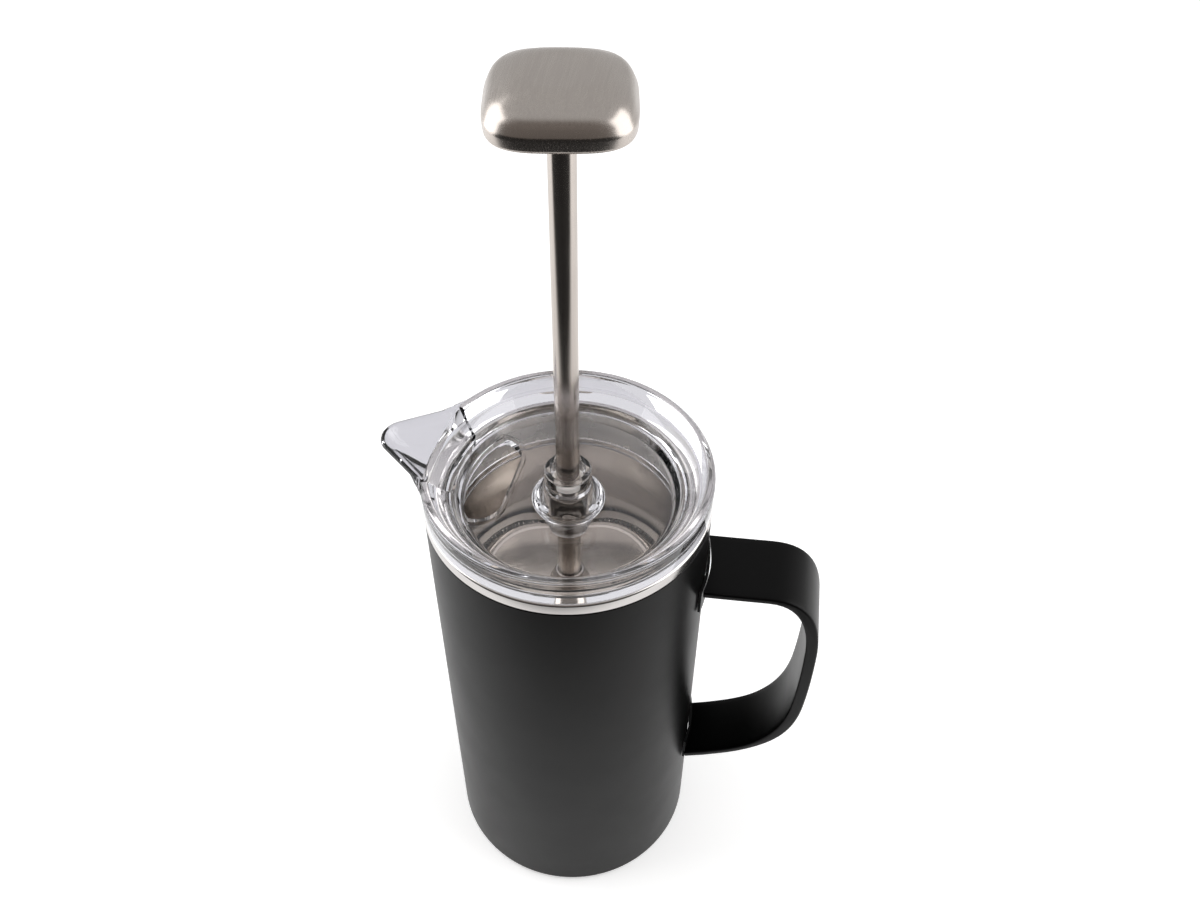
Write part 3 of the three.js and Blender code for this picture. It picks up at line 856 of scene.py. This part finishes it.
def soft_floor():
    """Pale matt floor, lit a little from within. In reflections it darkens towards the front, and
    through clear plastic it is a light grey."""
    finish = Finish("soft_floor")
    front = finish.step(finish.parts(finish.add("TexCoord", out=3))[1], -0.30, -0.12)
    seen, through = finish.ray("Camera"), finish.ray("Transmission")
    pale = finish.blend(front.maths("MAXIMUM", seen), grey(0.01), grey(0.93))
    glow = finish.blend(front * (1 - through), grey(0), grey(0.27))
    finish.surface(
        Base_Color=finish.blend(through, pale, (0.66, 0.655, 0.7, 1)),
        Roughness=0.9,
        Emission_Color=finish.blend(seen, glow, grey(0.4)),
        Emission_Strength=1.0,
    )
    return finish.material


def lamp(name, place, power):
    """A soft box that is aimed at the pot and isn't seen itself."""
    data = bpy.data.lights.new(name, "AREA")
    data.shape = "RECTANGLE"
    data.size, data.size_y = LAMP_SIZE
    data.energy = power
    box = linked(bpy.data.objects.new(name, data))
    aim = (LAMP_AIM - Vector(place)).to_track_quat("-Z", "Y")
    box.matrix_world = Matrix.Translation(place) @ aim.to_matrix().to_4x4()
    box.visible_camera = False


class PRESS_OT_stage(bpy.types.Operator):
    """Floor, soft studio light and camera"""
    bl_idname = "press.stage"
    bl_label = "Stage"

    def execute(self, context):
        bm = bmesh.new()
        level = Matrix.Translation((0, 0, CAD_BOX[0][2] - FLOOR_DROP))
        bmesh.ops.create_grid(bm, x_segments=1, y_segments=1, size=FLOOR_HALF_WIDTH, matrix=level)
        floor = as_object("floor", bm)
        floor.data.materials.append(soft_floor())
        self.sky()
        for settings in LAMPS:
            lamp(*settings)
        data = bpy.data.cameras.new("camera")
        data.lens = CAMERA_LENS
        data.sensor_width = SENSOR_WIDTH
        camera = linked(bpy.data.objects.new("camera", data))
        camera.matrix_world = (
            Matrix.Translation(CAMERA_PLACE) @ Matrix.Rotation(CAMERA_TURN, 4, "Z")
            @ Matrix.Rotation(math.pi / 2 - CAMERA_PITCH, 4, "X") @ Matrix.Rotation(CAMERA_ROLL, 4, "Z")
        )
        bpy.context.scene.camera = camera
        bpy.context.scene.view_settings.view_transform = "Standard"
        return {"FINISHED"}

    def sky(self):
        """White surroundings. In reflections they are grey, and dark at the front as in an open studio."""
        world = bpy.data.worlds.new("surroundings")
        bpy.context.scene.world = world
        world.use_nodes = True
        graph = Graph(world.node_tree)
        _, y, z = graph.parts(graph.add("TexCoord", out=0))
        front = graph.blend(graph.step(z, 0.05, 0.3), grey(0), (0.24, 0.215, 0.2, 1))
        mirrored = graph.blend(graph.step(y, -0.7, -0.3), front, grey(0.62))
        mirrored = graph.blend(graph.step(z, 0.74, 0.95), mirrored, grey(0.62))
        through = graph.blend(graph.ray("Transmission"), mirrored, (0.74, 0.735, 0.77, 1))
        background = graph.tree.nodes["Background"]
        graph.put(background, 0, graph.blend(graph.ray("Camera"), through, grey(1)))


class PRESS_PT_panel(bpy.types.Panel):
    """Sizes, colours and one button for each group of pieces"""
    bl_label = "Coffee press"
    bl_idname = "PRESS_PT_panel"
    bl_space_type = "VIEW_3D"
    bl_region_type = "UI"
    bl_category = "Press"

    def draw(self, context):
        for group in (context.scene.press_sizes, context.scene.press_finishes):
            for key in group.__annotations__:
                self.layout.prop(group, key)
        for maker in MAKERS:
            self.layout.operator(maker.bl_idname)


MAKERS = (PRESS_OT_pot, PRESS_OT_handle, PRESS_OT_lid, PRESS_OT_seals, PRESS_OT_plunger, PRESS_OT_filter,
          PRESS_OT_stage)
CLASSES = (PressSizes, PressFinishes, *MAKERS, PRESS_PT_panel)


def register():
    for item in CLASSES:
        bpy.utils.register_class(item)
    bpy.types.Scene.press_sizes = PointerProperty(type=PressSizes)
    bpy.types.Scene.press_finishes = PointerProperty(type=PressFinishes)


def unregister():
    del bpy.types.Scene.press_finishes
    del bpy.types.Scene.press_sizes
    for item in reversed(CLASSES):
        bpy.utils.unregister_class(item)


def main():
    register()
    bpy.ops.press.pot()
    bpy.ops.press.handle()
    bpy.ops.press.lid()
    bpy.ops.press.seals()
    bpy.ops.press.plunger()
    bpy.ops.press.filter()
    bpy.ops.press.stage()


if __name__ == "__main__":
    main()
